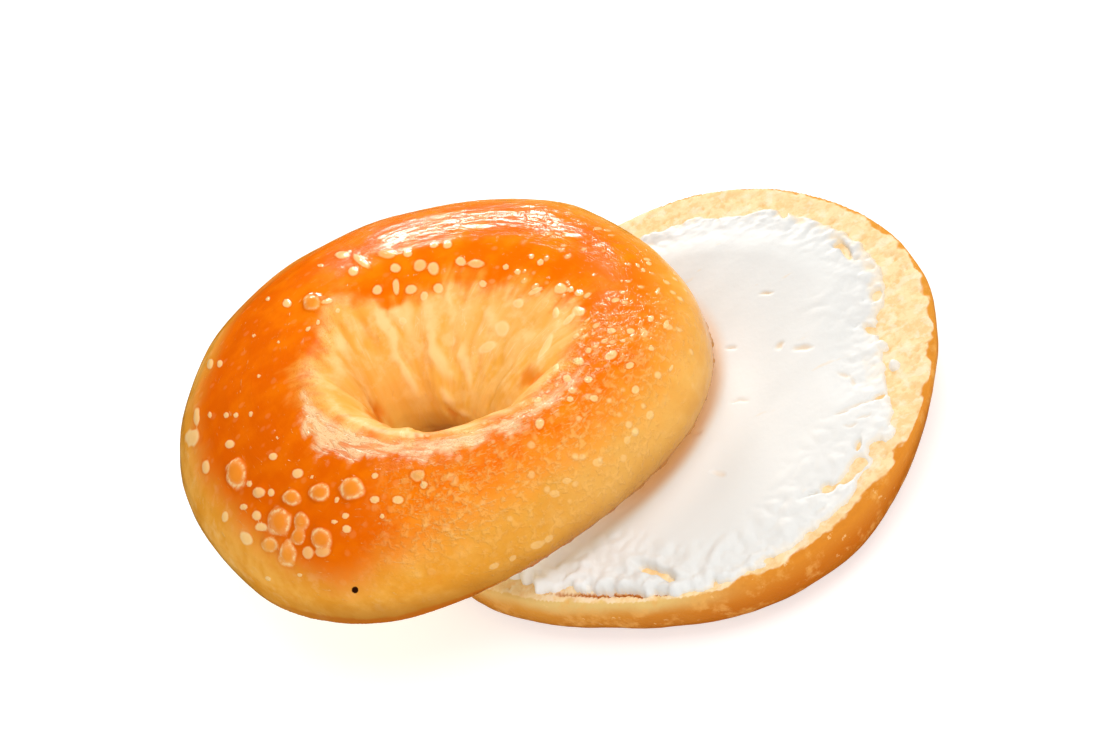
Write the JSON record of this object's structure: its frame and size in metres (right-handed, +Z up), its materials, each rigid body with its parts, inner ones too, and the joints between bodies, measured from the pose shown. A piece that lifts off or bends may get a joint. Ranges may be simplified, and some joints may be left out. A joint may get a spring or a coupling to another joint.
{
  "type": "bagel",
  "caption": "Plain glossy bagel cut in two, its lower half spread with cream cheese and its crown half resting to one side on the spread.",
  "frame": {"origin": "on the surface that the lower half lies on, below the middle of the whole object's box", "axes": "+X towards the lower half's uncovered side, the longest extent; +Z up, the shortest extent"},
  "size_m": [0.1488, 0.1344, 0.0449],
  "materials": {
    "bread": "pale golden crust with a soft sheen, and an open yellowish crumb on the cut face",
    "cream_cheese": "moist white, softly glossy",
    "crust": "glossy orange-brown crust, pale amber on its sides and in the funnel"
  },
  "bodies": {
    "root": {"lower_half": "bread", "cream_cheese": "cream_cheese", "crown_half": "crust"}
  },
  "joints": []
}
